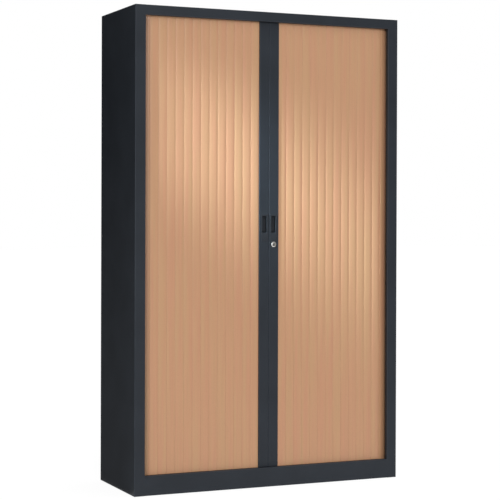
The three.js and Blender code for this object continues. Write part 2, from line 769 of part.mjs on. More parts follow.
// One curtain: the row of flat slats and the slat that stands turned in the corner
function addSlats(parent, side) {
  const geometry = raised(shapeOf(slatSection()), SLAT_BOTTOM, SLAT_TOP);
  for (let i = 0; i < FLAT_SLATS; i++) {
    const slat = add(parent, `${side}_slat_${String(i + 1).padStart(2, "0")}`, geometry, BEECH_FOIL);
    slat.position.set(STILE_OUTER + i * SLAT_PITCH, CURTAIN_FRONT, 0);
  }
  const edge = new THREE.Vector3(SLAT_EDGE, SLAT_EDGE_DEPTH, 0);
  const turn = new THREE.Euler(0, 0, THREE.MathUtils.degToRad(CORNER_TURN));
  const last = add(parent, `${side}_slat_${FLAT_SLATS + 1}`, geometry, BEECH_FOIL);
  last.setRotationFromEuler(turn);
  last.position
    .set(FLAT_END + SLAT_EDGE + CORNER_SHIFT, CURTAIN_FRONT + SLAT_EDGE_DEPTH - CORNER_LIFT, 0)
    .sub(edge.applyEuler(turn));
}

// What the left and right halves share, made for the right half; the left half is its mirror image
function half(side) {
  const group = new THREE.Group();
  add(group, `${side}_side_panel`, sidePanel(), POWDER_COAT);
  add(group, `${side}_inner_upright`, innerUpright(), POWDER_COAT);
  add(group, `${side}_bottom_track`, track(DECK_TOP + GAP, 1), TRACK_PLASTIC);
  add(group, `${side}_top_track`, track(CEILING_BOTTOM - GAP, -1), TRACK_PLASTIC);
  add(group, `${side}_stile`, stile(side === "right"), STILE_LACQUER);
  add(group, `${side}_grip`, grip(), GRIP_PLASTIC);
  add(group, `${side}_bottom_glide`, glide(STILE_BOTTOM, -1), TRACK_PLASTIC);
  add(group, `${side}_top_glide`, glide(STILE_TOP, 1), TRACK_PLASTIC);
  addSlats(group, side);
  return group;
}

const cabinet = new THREE.Group();
cabinet.name = "tambour_door_cabinet";
const leftHalf = half("left");
leftHalf.scale.x = -1;
cabinet.add(leftHalf, half("right"));
add(cabinet, "top_panel", topPanel(), POWDER_COAT);
add(cabinet, "ceiling_panel", innerTray(CEILING_BOTTOM, 1), POWDER_COAT);
add(cabinet, "base_deck", baseDeck(), POWDER_COAT);
add(cabinet, "plinth_front", plinth(), POWDER_COAT);
add(cabinet, "back_panel", backPanel(), POWDER_COAT);
for (let i = 1; i <= SHELF_COUNT; i++)
  add(cabinet, `shelf_${i}`, shelf(PLINTH_HEIGHT + i * BAY_HEIGHT), POWDER_COAT);
for (const { name, x, y } of footPlaces) add(cabinet, `${name}_foot`, foot(x, y), ZINC_STEEL);
add(cabinet, "lock_body", lockBody(), NICKEL);
add(cabinet, "lock_plug", lockPlug(), NICKEL);
add(cabinet, "lock_hook", lockHook(), ZINC_STEEL);

export default cabinet;
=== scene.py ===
"""Looks of a tambour door cabinet: anthracite powder-coated sheet steel with two curtains of beech-look slats.

Metres, +Z up, the front faces -Y, and the origin is on the floor under the middle.
"""

import json
import math

import bpy
import numpy as np
from mathutils import Matrix, Vector

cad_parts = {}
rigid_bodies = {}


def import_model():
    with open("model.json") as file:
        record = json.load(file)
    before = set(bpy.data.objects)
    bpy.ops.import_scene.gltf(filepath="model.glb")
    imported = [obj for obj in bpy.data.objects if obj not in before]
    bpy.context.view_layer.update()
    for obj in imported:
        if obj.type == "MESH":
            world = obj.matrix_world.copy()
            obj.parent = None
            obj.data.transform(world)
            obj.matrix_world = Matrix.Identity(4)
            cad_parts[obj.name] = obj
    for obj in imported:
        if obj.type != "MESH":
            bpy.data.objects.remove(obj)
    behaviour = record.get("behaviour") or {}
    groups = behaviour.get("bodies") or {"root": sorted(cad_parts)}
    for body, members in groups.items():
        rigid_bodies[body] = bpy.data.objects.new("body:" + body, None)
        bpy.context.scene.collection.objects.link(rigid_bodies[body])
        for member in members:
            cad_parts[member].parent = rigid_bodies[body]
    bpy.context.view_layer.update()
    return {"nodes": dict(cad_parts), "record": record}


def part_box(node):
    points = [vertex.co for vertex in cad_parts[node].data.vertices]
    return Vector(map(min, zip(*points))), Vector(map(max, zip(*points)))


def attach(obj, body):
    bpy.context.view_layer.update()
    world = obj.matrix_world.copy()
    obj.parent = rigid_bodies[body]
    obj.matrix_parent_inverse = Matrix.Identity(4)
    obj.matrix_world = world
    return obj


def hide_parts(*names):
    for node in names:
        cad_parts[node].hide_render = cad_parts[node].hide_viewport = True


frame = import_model()

MM = 0.001
NODES = frame["nodes"]
BODY_OF = {node: body for body, nodes in frame["record"]["behaviour"]["bodies"].items() for node in nodes}
SIDES = {"left": -1, "right": 1}

# Camera, fitted to the six corners of the cabinet's outline in the photograph
IMAGE_SIZE = 500  # pixels
CAMERA_PLACE = (-2.650, -5.963, 1.138)
CAMERA_YAW = 23.96  # degrees to the right of straight ahead
CAMERA_PITCH = -0.34
CAMERA_ROLL = 0.18
CAMERA_FOCAL_PX = 1518
CAMERA_AXIS_PX = 223.3  # row of the photograph that the camera's axis meets
SENSOR = 36  # mm

# Lamps, in metres and watts
KEY_PLACE = (-4.0, -10.9, 4.4)
KEY_AIM = (0, 0, 0.95)
KEY_SIZE = (3.0, 3.0)
KEY_POWER = 480
STRIP_PLACE = (-1.4, -0.553, 2.045)
STRIP_AIM = (0.395, -0.19, 1.045)
STRIP_SIZE = (0.13, 0.46)
STRIP_POWER = 1.55
STRIP_SPREAD = 21.6  # degrees that its grid lets through
STRIP_TINT = "#DDF5FF"
STRIP_LIGHTS = ("slat", "stile", "grip", "lock")  # words in the names of the pieces that it lights

# Room and floor
BRIGHT_SIDE = (0.93, -0.36, 0.1)  # direction from which the room is brightest
ROOM_LIGHT = 0.98  # strength of the room there; it falls to nothing at the far side
FLOOR_PAINT = "#F2F2F2"
FLOOR_GLOW = 1.15
FLOOR_GLOW_SHARE = 0.8  # the rest of the floor is paint, which takes the shadow
FLOOR_REACH = 40

# Black flags
FLAG_CLOTH = "#0A0A0A"
FLAG_PAINTED_SPILL = (1.6, 0.17)  # painted light: the cloth glows as if lit from the floor, up to this height, and this strong at its foot
SIDE_FLAG = ((-0.605, 0.002), (-0.9, 0.002), (-0.9, 2.4), (-1.4, 5))  # x and height of its edges and its creases
SIDE_FLAG_RUN = (-0.15, 8)  # from y to y
FRONT_FLAG = ((-0.55, -3.74), (3.07, -2.06))  # x and y of its ends
FRONT_FLAG_RISE = (0.002, 3.6)
POST_FLAG_X = -0.5545  # just inside the left post
POST_FLAG_RUN = (-0.216, -0.258)
POST_FLAG_RISE = (0.08, 1.942)

# Folded sheet steel
FIT = 0.3 * MM  # between neighbouring solids
PEBBLE = 2.5 * MM  # width of the coat's grain as drawn
BEND_HIGHLIGHT = 1.5  # painted highlight: how much lighter the coat is painted over a bend, for the light that the bend catches
FLAT_NORMAL = 0.9995  # a face whose normal has no component above this belongs to a bend

# Slats
SLATS = 14
SLAT_EDGE = 0.15 * MM  # what each long edge keeps back from the pitch line
SLAT_WALL = 0.9 * MM
SLAT_DEPTH = 4 * MM
CROWN = 1.7 * MM  # how far the face falls from its middle to its long edges
CROWN_POWER = 2.5
FLANGE_WALL = 1.3 * MM
FLANGE_ROOT = 1.9 * MM
FLANGE_REACH = 5 * MM
FACE_ROUND = 0.45 * MM  # radius of the long edges of the face
EDGE_ROUND = 0.3 * MM
FACE_STEPS = 24
ROUND_STEPS = 5
CORNER_TURN = 23  # degrees, of the slat in the corner
CORNER_GAP = 1.5 * MM  # how far its near edge keeps back, as the joint opens there

# Finger grips
GRIP_PLATE = 1.5 * MM
GRIP_CORNER = 3 * MM
GRIP_EDGE = 1 * MM  # radius of the plate's front edge
GRIP_LIP = 0.8 * MM  # and of the edge of the recess
RECESS = (21 * MM, 71 * MM)
RECESS_DROP = 9 * MM  # from the top of the plate
CUP_WALL = 1.5 * MM
CUP_CORNER = 4.8 * MM
CUP_BACK_CORNER = 2 * MM
CUP_FLOOR_CORNER = 1 * MM
CUP_FILLET = 3 * MM
CUP_DRAFT = 0.6 * MM
CUP_SLOPE = 7 * MM  # how far the lower end rises towards the floor of the cup

# Lock
LOCK_STEPS = 11
LOCK_SHANK = 9.5 * MM
BARREL_BORE = 6.8 * MM
BORE_BEVEL = 0.15 * MM
PLUG_RADIUS = 6.5 * MM
PLUG_ROUND = 0.4 * MM
PLUG_DISH = 0.25 * MM
DISH_RIM = 1.4 * MM  # width of the slope into the dish
TAIL_RADIUS = 4 * MM
TAIL_LENGTH = 5 * MM
TAIL_BEVEL = 0.5 * MM
ROSE_FLAT = 8.4 * MM  # radius where the face of the rose starts to fall
ROSE_DOME = 1.9 * MM
ROSE_POWER = 1.1
KEYWAY = (2.6 * MM, 8.2 * MM)
KEYWAY_CORNER = 0.5 * MM
KEYWAY_DEPTHS = np.array([0, 0.05, 0.3, 0.6, 8]) * MM  # of the rings down its bevel and to its floor
KEYWAY_FLARE = np.array([0.7, 0.4, 0.1, 0, 0]) * MM  # how much wider it is at each of them

# Levelling feet
FOOT_RADIUS = 20 * MM
FOOT_HEIGHT = 5 * MM
NECK_HEIGHT = 4 * MM
STEM_RADIUS = 5 * MM
THREAD_PITCH = 1.5 * MM
THREAD_DEPTH = 0.7 * MM
SOCKET_RADIUS = 2.9 * MM
SOCKET_DEPTH = 5 * MM

# Shelf clips, back rivets and the welds between posts and rails
CLIP_THICKNESS = 2.6 * MM
CLIP_COLUMN = 40 * MM  # from the front and rear edge of an upright
RIVET_RADIUS = 4 * MM
RIVET_HEIGHT = 1.2 * MM
RIVET_COUNT = 9
RIVET_INSET = 70 * MM  # from the side edges of the back
RIVET_DROP = 10 * MM  # from the top of the deck
POST_BEND = 2 * MM  # radius of the long edges of posts, rail and plinth
RAIL_HEIGHT = 40 * MM
SEAM_FIT = 0.05 * MM  # between a weld and the sheets beside it


def colour(code):
    """Linear RGBA of an sRGB hex value. A channel up to 0.04045 is divided by 12.92. A larger one has 0.055 added,
    is divided by 1.055 and takes the power 2.4."""
    channels = np.array([int(code[i : i + 2], 16) for i in (1, 3, 5)]) / 255
    linear = np.where(channels <= 0.04045, channels / 12.92, ((channels + 0.055) / 1.055) ** 2.4)
    return (*linear.tolist(), 1.0)


def shaded(code, share):
    """The linear RGBA of an sRGB hex value with its light multiplied by a share."""
    return [*(channel * share for channel in colour(code)[:3]), 1]


def add_node(tree, kind, inputs=None, **fields):
    """Adds a shader node. Fields are its own settings, and inputs gives each socket a value or a (node, output)."""
    made = tree.nodes.new("ShaderNode" + kind)
    for name, value in fields.items():
        setattr(made, name, value)
    for socket, value in (inputs or {}).items():
        if isinstance(value, tuple) and isinstance(value[0], bpy.types.Node):
            tree.links.new(value[0].outputs[value[1]], made.inputs[socket])
        else:
            made.inputs[socket].default_value = value
    return made


def new_finish(name):
    """A material with an empty node tree."""
    material = bpy.data.materials.new(name)
    material.use_nodes = True
    material.node_tree.nodes.clear()
    return material, material.node_tree


def powder_coat(name, code, grain_height):
    """Fine-textured polyester powder coat on steel: dark, satin, pebbled, faintly mottled, with a painted highlight on
    bends.
    """
    material, tree = new_finish(name)
    place = add_node(tree, "TexCoord")
    # The real pebbles are about 0.5 mm wide. They are drawn coarser, or they would not show.
    pebbles = add_node(tree, "TexNoise", {"Vector": (place, "Object"), "Scale": 1 / PEBBLE, "Detail": 2})
    # The mottling is about 140 mm wide
    clouds = add_node(tree, "TexNoise", {"Vector": (place, "Object"), "Scale": 7, "Detail": 3})
    shade = add_node(tree, "ValToRGB", {"Fac": (clouds, "Fac")})
    for stop, position, share in zip(shade.color_ramp.elements, (0.3, 0.7), (0.9, 1.1)):
        stop.position = position
        stop.color = shaded(code, share)
    # Painted highlight: the coat is painted lighter over a bend, for the line of light that each fold catches
    fold = add_node(tree, "Attribute", attribute_name="bend")
    painted_highlight = add_node(tree, "MapRange", {"Value": (fold, "Fac"), "To Min": 1.0, "To Max": BEND_HIGHLIGHT})
    coat_with_highlight = add_node(tree, "VectorMath", {0: (shade, "Color"), "Scale": (painted_highlight, "Result")}, operation="SCALE")
    rough = add_node(tree, "MapRange", {"Value": (pebbles, "Fac"), "To Min": 0.46, "To Max": 0.6})
    bump = add_node(tree, "Bump", {"Height": (pebbles, "Fac"), "Strength": 0.35, "Distance": grain_height})
    shader = add_node(
        tree,
        "BsdfPrincipled",
        {
            "Base Color": (coat_with_highlight, "Vector"),
            "Roughness": (rough, "Result"),
            "Normal": (bump, "Normal"),
            "Specular IOR Level": 0.25,
        },
    )
    add_node(tree, "OutputMaterial", {"Surface": (shader, "BSDF")})
    return material


def beech_foil():
    """Satin beech-look foil on extruded PVC: upright grain in streaks, drifting from pink to straw."""
    material, tree = new_finish("beech_foil")
    grain_map = add_node(tree, "UVMap", uv_map="grain")
    # Streaks are 5 mm wide and 300 mm long, and the broad figure is 25 mm by 700 mm. Beech flecks are about 0.5 mm
    # by 3 mm. They are drawn 1.2 mm by 9 mm, or they would not show.
    streak_place = add_node(tree, "Mapping", {"Vector": (grain_map, "UV"), "Scale": (200, 3.3, 1)})
    figure_place = add_node(tree, "Mapping", {"Vector": (grain_map, "UV"), "Scale": (40, 1.4, 1)})
    fleck_place = add_node(tree, "Mapping", {"Vector": (grain_map, "UV"), "Scale": (800, 110, 1)})
    streaks = add_node(tree, "TexNoise", {"Vector": (streak_place, "Vector"), "Scale": 1, "Detail": 4})
    figure = add_node(tree, "TexNoise", {"Vector": (figure_place, "Vector"), "Scale": 1, "Detail": 2})
    flecks = add_node(tree, "TexNoise", {"Vector": (fleck_place, "Vector"), "Scale": 1, "Detail": 1})
    hue = add_node(tree, "ValToRGB", {"Fac": (figure, "Fac")})
    for stop, position, code in zip(hue.color_ramp.elements, (0.35, 0.65), ("#CD9876", "#CB9E77")):
        stop.position = position
        stop.color = colour(code)
    streak_tone = add_node(
        tree,
        "MapRange",
        {"Value": (streaks, "Fac"), "From Min": 0.3, "From Max": 0.7, "To Min": 0.97, "To Max": 1.02},
    )
    fleck_tone = add_node(
        tree,
        "MapRange",
        {"Value": (flecks, "Fac"), "From Min": 0.6, "From Max": 0.75, "To Min": 1.0, "To Max": 0.9},
    )
    tone = add_node(tree, "Math", {0: (streak_tone, "Result"), 1: (fleck_tone, "Result")}, operation="MULTIPLY")
    toned = add_node(tree, "VectorMath", {0: (hue, "Color"), "Scale": (tone, "Value")}, operation="SCALE")
    bump = add_node(tree, "Bump", {"Height": (streaks, "Fac"), "Strength": 0.25, "Distance": 0.1 * MM})
    rough = add_node(tree, "MapRange", {"Value": (streaks, "Fac"), "To Min": 0.3, "To Max": 0.42})
    shader = add_node(
        tree,
        "BsdfPrincipled",
        {
            "Base Color": (toned, "Vector"),
            "Roughness": (rough, "Result"),
            "Normal": (bump, "Normal"),
            "IOR": 1.5,
        },
    )
    add_node(tree, "OutputMaterial", {"Surface": (shader, "BSDF")})
    return material


def moulded_plastic(name, code, roughness, grain, gloss):
    """Injection-moulded plastic: dull and even, with the speckle of a spark-eroded mould."""
    material, tree = new_finish(name)
    place = add_node(tree, "TexCoord")
    # The real grain is about 0.1 mm wide. It is drawn at the given width, or it would not show.
    sparks = add_node(tree, "TexNoise", {"Vector": (place, "Object"), "Scale": 1 / grain, "Detail": 2})
    tint = add_node(tree, "ValToRGB", {"Fac": (sparks, "Fac")})
    for stop, share in zip(tint.color_ramp.elements, (0.88, 1.12)):
        stop.color = shaded(code, share)
    bump = add_node(tree, "Bump", {"Height": (sparks, "Fac"), "Strength": 0.3, "Distance": 0.1 * MM})
    shader = add_node(
        tree,
        "BsdfPrincipled",
        {
            "Base Color": (tint, "Color"),
            "Roughness": roughness,
            "Normal": (bump, "Normal"),
            "Specular IOR Level": gloss,
        },
    )
    add_node(tree, "OutputMaterial", {"Surface": (shader, "BSDF")})
    return material


def plated_metal(name, code, roughness, stain):
    """Electroplated steel or zinc: bright, with clouds of slightly duller plating."""
    material, tree = new_finish(name)
    place = add_node(tree, "TexCoord")
    # The clouds are about 11 mm wide
    clouds = add_node(tree, "TexNoise", {"Vector": (place, "Object"), "Scale": 90, "Detail": 4})
    spread = {"To Min": roughness - stain, "To Max": roughness + stain}
    rough = add_node(tree, "MapRange", {"Value": (clouds, "Fac"), **spread})
    look = {"Base Color": colour(code), "Metallic": 1.0, "Roughness": (rough, "Result")}
    shader = add_node(tree, "BsdfPrincipled", look)
    add_node(tree, "OutputMaterial", {"Surface": (shader, "BSDF")})
    return material


FINISHES = {
    "powder_coat": powder_coat("anthracite_powder_coat", "#2B3037", 0.2 * MM),
    "stile_coat": powder_coat("anthracite_stile_lacquer", "#2B3037", 0.08 * MM),
    "beech_foil": beech_foil(),
    "track_plastic": moulded_plastic("black_track_polypropylene", "#1A1B1D", 0.5, 3 * MM, 0.4),
    "grip_plastic": moulded_plastic("anthracite_grip_abs", "#303338", 0.5, 2 * MM, 0.15),
    "nickel": plated_metal("satin_nickel_plate", "#DAD8D4", 0.3, 0.05),
    "zinc_steel": plated_metal("bright_zinc_plate", "#A9ADB1", 0.35, 0.1),
}
SLOT_OF = {row["node"]: row["material_slot"] for row in frame["record"]["subparts"]}


def dress(piece, slot, body=None):
    """Gives a piece its finish, and a new piece also its body and its slot."""
    piece.data.materials.clear()
    piece.data.materials.append(FINISHES[slot])
    if body:
        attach(piece, body)


def new_piece(name, points, faces, smooth_angle=35):
    """A mesh object from arrays; faces that meet at less than the angle shade as one."""
    mesh = bpy.data.meshes.new(name)
    mesh.from_pydata(points, [], faces)
    mesh.update()
    mesh.shade_smooth()
    mesh.set_sharp_from_angle(angle=math.radians(smooth_angle))
    piece = bpy.data.objects.new(name, mesh)
    bpy.context.scene.collection.objects.link(piece)
    return piece


def rounded_outline(corners, radii):
    """A closed outline with round corners. At each corner the arc starts and ends where it is tangent to the two
    legs, radius times the tangent of half the turn away from the corner."""
    corners = np.array(corners, float)
    outline = []
    for i, corner in enumerate(corners):
        before = corners[i - 1] - corner
        after = corners[(i + 1) % len(corners)] - corner
        before /= np.linalg.norm(before)
        after /= np.linalg.norm(after)
        turn = math.pi - math.acos(np.clip(before @ after, -1, 1))
        if not radii[i] or turn < 1e-3:
            outline.append(corner[None])
            continue
        reach = radii[i] * math.tan(turn / 2)
        centre = corner + (before + after) / np.linalg.norm(before + after) * radii[i] / math.cos(turn / 2)
        start = corner + before * reach - centre
        side = np.sign(-before[0] * after[1] + before[1] * after[0])
        angles = side * turn * np.linspace(0, 1, ROUND_STEPS + 1)[:, None]
        arc = np.cos(angles) * start + np.sin(angles) * np.array([-start[1], start[0]])
        outline.append(centre + arc)
    return np.concatenate(outline)


def round_rectangles(widths, heights, radii, steps):
    """Rectangles with round corners about the origin, one per row. The middle of each corner's arc stands a radius
    inside both sides, and the arc is a quarter turn in equal steps."""
    quarter = np.linspace(0, math.pi / 2, steps + 1)
    angles = np.concatenate([quarter + k * math.pi / 2 for k in range(4)])
    signs = np.repeat([(1, 1), (-1, 1), (-1, -1), (1, -1)], steps + 1, axis=0)
    radii = np.asarray(radii, float)[:, None, None]
    halves = np.stack([widths, heights], axis=1)[:, None] / 2 - radii
    return halves * signs + radii * np.stack([np.cos(angles), np.sin(angles)], axis=1)


def circles(radii, steps):
    """Circles about the origin, one per row, with as many points as a round rectangle of the same steps."""
    angles = (np.arange(4 * (steps + 1)) + 0.5) * math.pi / 2 / (steps + 1)
    return np.asarray(radii, float)[:, None, None] * np.stack([np.cos(angles), np.sin(angles)], axis=1)


def bend(start, end, turns_back):
    """Rows between two rows on a quarter of an ellipse. The first value moves as 1 - cos and the others as sin, or
    the other way round where the surface turns back."""
    angles = np.linspace(0, math.pi / 2, ROUND_STEPS + 1)[:, None]
    start, end = np.array(start, float), np.array(end, float)
    late, early = 1 - np.cos(angles), np.sin(angles)
    share = np.repeat(early if turns_back else late, len(start), axis=1)
    share[:, 1:] = late if turns_back else early
    return start + (end - start) * share


def ring_surface(name, rings, closed=False, smooth_angle=35):
    """Rings of equally many points joined one to the next. The last joins the first where closed, and otherwise
    both ends are flat faces. The faces are turned outwards by the sign of the volume that they enclose."""
    rings = np.asarray(rings, float)
    count, around = rings.shape[:2]
    index = np.arange(count * around).reshape(count, around)
    here = index if closed else index[:-1]
    there = np.roll(index, -1, axis=0) if closed else index[1:]
    quads = np.stack([here, np.roll(here, -1, axis=1), np.roll(there, -1, axis=1), there], axis=-1).reshape(-1, 4)
    points = rings.reshape(-1, 3)
    corner = points[quads] - points.mean(axis=0)
    volume = np.einsum("ij,ij->", corner[:, 0], np.cross(corner[:, 1], corner[:, 2]))
    volume += np.einsum("ij,ij->", corner[:, 0], np.cross(corner[:, 2], corner[:, 3]))
    faces = quads.tolist() + ([] if closed else [index[0, ::-1].tolist(), index[-1].tolist()])
    if volume < 0:
        faces = [face[::-1] for face in faces]
    return new_piece(name, points, faces, smooth_angle)


def slat_outline(pitch, round_share, near=SLAT_EDGE):
    """Closed outline of a slat as (across, back) from its near edge. Its face and the inside of its wall fall from
    the middle by the crown times the share of the half width to a power, and a flange laps behind the next slat."""
    far = pitch - SLAT_EDGE
    middle = pitch / 2

    def curve(x, back):
        return np.stack([x, CROWN * np.abs((x - middle) / (middle - SLAT_EDGE)) ** CROWN_POWER + back], axis=1)

    flange_face = SLAT_DEPTH - FLANGE_WALL
    inset = 2 * FACE_ROUND
    face = curve(np.linspace(near + inset, far - inset, FACE_STEPS + 1), 0)
    inner = curve(np.linspace(far - FLANGE_ROOT, near + inset, FACE_STEPS // 2 + 1), SLAT_WALL)
    corners = [
        (near, CROWN),
        *face,
        (far, CROWN),
        (far, flange_face),
        (pitch + FLANGE_REACH, flange_face),
        (pitch + FLANGE_REACH, SLAT_DEPTH),
        (far - FLANGE_ROOT, SLAT_DEPTH),
        *inner,
        (near, CROWN + SLAT_WALL),
    ]
    radii = np.zeros(len(corners))
    radii[[0, FACE_STEPS + 2]] = FACE_ROUND * round_share
    radii[[FACE_STEPS + 4, FACE_STEPS + 5, -1]] = EDGE_ROUND * round_share
    return rounded_outline(corners, radii)


def raised_outline(name, outline, low, high, seam_shift):
    """An outline carried straight up from low to high, closed by its two ends. Its grain map runs round the outline
    by true distance and up the piece by height."""
    count = len(outline)
    points = np.empty((2 * count, 3))
    points[:, :2] = np.tile(outline, (2, 1))
    points[:count, 2] = low
    points[count:, 2] = high
    ring = np.arange(count)
    following = (ring + 1) % count
    walls = np.stack([ring, following, following + count, ring + count], axis=1)
    faces = [*walls.tolist(), ring[::-1].tolist(), (ring + count).tolist()]
    piece = new_piece(name, points, faces)
    steps = np.linalg.norm(np.diff(outline, axis=0, append=outline[:1]), axis=1)
    across = np.concatenate([[0], np.cumsum(steps)])
    wall_map = np.empty((count, 4, 2))
    wall_map[:, [0, 3], 0] = across[:-1, None]
    wall_map[:, [1, 2], 0] = across[1:, None]
    wall_map[:, :2, 1] = low
    wall_map[:, 2:, 1] = high
    end_map = np.concatenate([outline[::-1], outline])
    grain = piece.data.uv_layers.new(name="grain")
    whole = np.concatenate([wall_map.reshape(-1, 2), end_map]) + seam_shift
    grain.data.foreach_set("uv", whole.astype(np.float32).ravel())
    return piece


def add_folded_sheets():
    """Merged copies of the folded sheets, in which each bend shades as one curve. Corners that stand in the same
    place become one, and the bend attribute is 1 on faces that look along none of the axes."""
    for node, cad in NODES.items():
        if SLOT_OF[node] not in ("powder_coat", "stile_coat"):
            continue
        corners = np.empty(3 * len(cad.data.vertices))
        cad.data.vertices.foreach_get("co", corners)
        points, joined = np.unique(corners.reshape(-1, 3).round(7), axis=0, return_inverse=True)
        order = np.empty(len(cad.data.loops), int)
        cad.data.loops.foreach_get("vertex_index", order)
        faces = joined.ravel()[order].reshape(-1, 3)
        sheet = new_piece(f"{node}_sheet", points, faces.tolist(), 30)
        legs = points[faces[:, 1:]] - points[faces[:, :1]]
        normals = np.cross(legs[:, 0], legs[:, 1])
        normals /= np.linalg.norm(normals, axis=1, keepdims=True)
        on_bend = np.abs(normals).max(axis=1) < FLAT_NORMAL
        # painted highlight: the coat is painted lighter on the faces in this mask, for the light the bends catch
        bend_highlight_mask = sheet.data.attributes.new("bend", "FLOAT", "CORNER")
        bend_highlight_mask.data.foreach_set("value", np.repeat(on_bend, 3).astype(np.float32))
        even = sheet.modifiers.new("even_normals", "WEIGHTED_NORMAL")
        even.keep_sharp = True
        dress(sheet, SLOT_OF[node], BODY_OF[node])
        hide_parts(node)


def add_slats():
    """The 28 slats. Each is turned or mirrored in plan and then set so that its box meets the box of its node."""
    # Each slat shows another stretch of grain
    shifts = np.random.default_rng(5).uniform(0, 40, (2, SLATS, 2))
    for index, (side, sign) in enumerate(SIDES.items()):
        pitch = abs(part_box(f"{side}_slat_02")[0].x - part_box(f"{side}_slat_01")[0].x)
        for number in range(1, SLATS + 1):
            node = f"{side}_slat_{number:02d}"
            low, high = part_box(node)
            angle = math.radians(CORNER_TURN) if number == SLATS else 0
            turn = np.array([[math.cos(angle), math.sin(angle)], [-math.sin(angle), math.cos(angle)]])
            mirror = np.array([sign, 1])
            sharp = slat_outline(pitch, 0) @ turn * mirror
            near = CORNER_GAP if number == SLATS else SLAT_EDGE
            outline = slat_outline(pitch, 1, near) @ turn * mirror
            outline += np.array(low[:2]) - sharp.min(axis=0)
            if sign > 0:
                outline = outline[::-1]
            name = f"{side}_curtain_slat_{number:02d}"
            piece = raised_outline(name, outline, low.z, high.z, shifts[index, number - 1])
            dress(piece, "beech_foil", BODY_OF[node])
            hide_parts(node)


def add_grips():
    """Each grip is one moulding, as rings of round rectangles: round the back of its cup, along the rear of its
    plate, over the plate's round edge and face, and down the cup to its floor. The lower end of the cup slopes."""
    for side in SIDES:
        node = f"{side}_grip"
        low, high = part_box(node)
        front, width, height = low.y, high.x - low.x, high.z - low.z
        rear, back = front + GRIP_PLATE, high.y
        floor = back - CUP_WALL
        cup_width, cup_height = RECESS
        outer_width, outer_height = cup_width + 2 * CUP_WALL, cup_height + 2 * CUP_WALL
        middle = (high.z + low.z) / 2
        cup_middle = high.z - RECESS_DROP - cup_height / 2
        fillet, lip, edge, slope = CUP_FILLET, GRIP_LIP, GRIP_EDGE, CUP_SLOPE
        sloped_middle = cup_middle + slope / 2
        # Rows of back, width, height, corner radius and height of the middle
        rows = [
            *bend(
                (back, outer_width - 2 * fillet, outer_height - 2 * fillet - slope, CUP_BACK_CORNER, sloped_middle),
                (back - fillet, outer_width, outer_height - slope, CUP_CORNER, sloped_middle),
                False,
            ),
            (rear, outer_width, outer_height, CUP_CORNER, cup_middle),
            (rear, width - edge / 2, height - edge / 2, GRIP_CORNER - edge / 4, middle),
            (rear - edge / 4, width, height, GRIP_CORNER, middle),
            *bend(
                (front + edge, width, height, GRIP_CORNER, middle),
                (front, width - 2 * edge, height - 2 * edge, GRIP_CORNER - edge, middle),
                True,
            ),
            *bend(
                (front, cup_width + 2 * lip, cup_height + 2 * lip, CUP_CORNER, cup_middle),
                (front + lip, cup_width, cup_height, CUP_CORNER - lip, cup_middle),
                False,
            ),
            *bend(
                (floor - fillet, cup_width - CUP_DRAFT, cup_height - slope, CUP_CORNER - lip, sloped_middle),
                (floor, cup_width - 2 * fillet, cup_height - slope - 2 * fillet, CUP_FLOOR_CORNER, sloped_middle),
                True,
            ),
        ]
        back_of, widths, heights, radii, middles = np.array(rows).T
        plan = round_rectangles(widths, heights, radii, ROUND_STEPS)
        rings = np.empty((*plan.shape[:2], 3))
        rings[..., 0] = plan[..., 0] + (low.x + high.x) / 2
        rings[..., 1] = back_of[:, None]
        rings[..., 2] = plan[..., 1] + middles[:, None]
        grip = ring_surface(f"{side}_moulded_grip", rings, smooth_angle=50)
        dress(grip, "grip_plastic", BODY_OF[node])
        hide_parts(node)


def turned(radii, along, centre, steps, axis):
    """Rings of a turned shape: circles of the given radii about a centre, at places along the y or the z axis."""
    plan = circles(radii, steps)
    rings = np.empty((*plan.shape[:2], 3))
    across = 2 if axis == 1 else 1
    rings[..., 0] = plan[..., 0] + centre[0]
    rings[..., across] = plan[..., 1] + centre[1]
    rings[..., axis] = np.asarray(along)[:, None]
    return rings


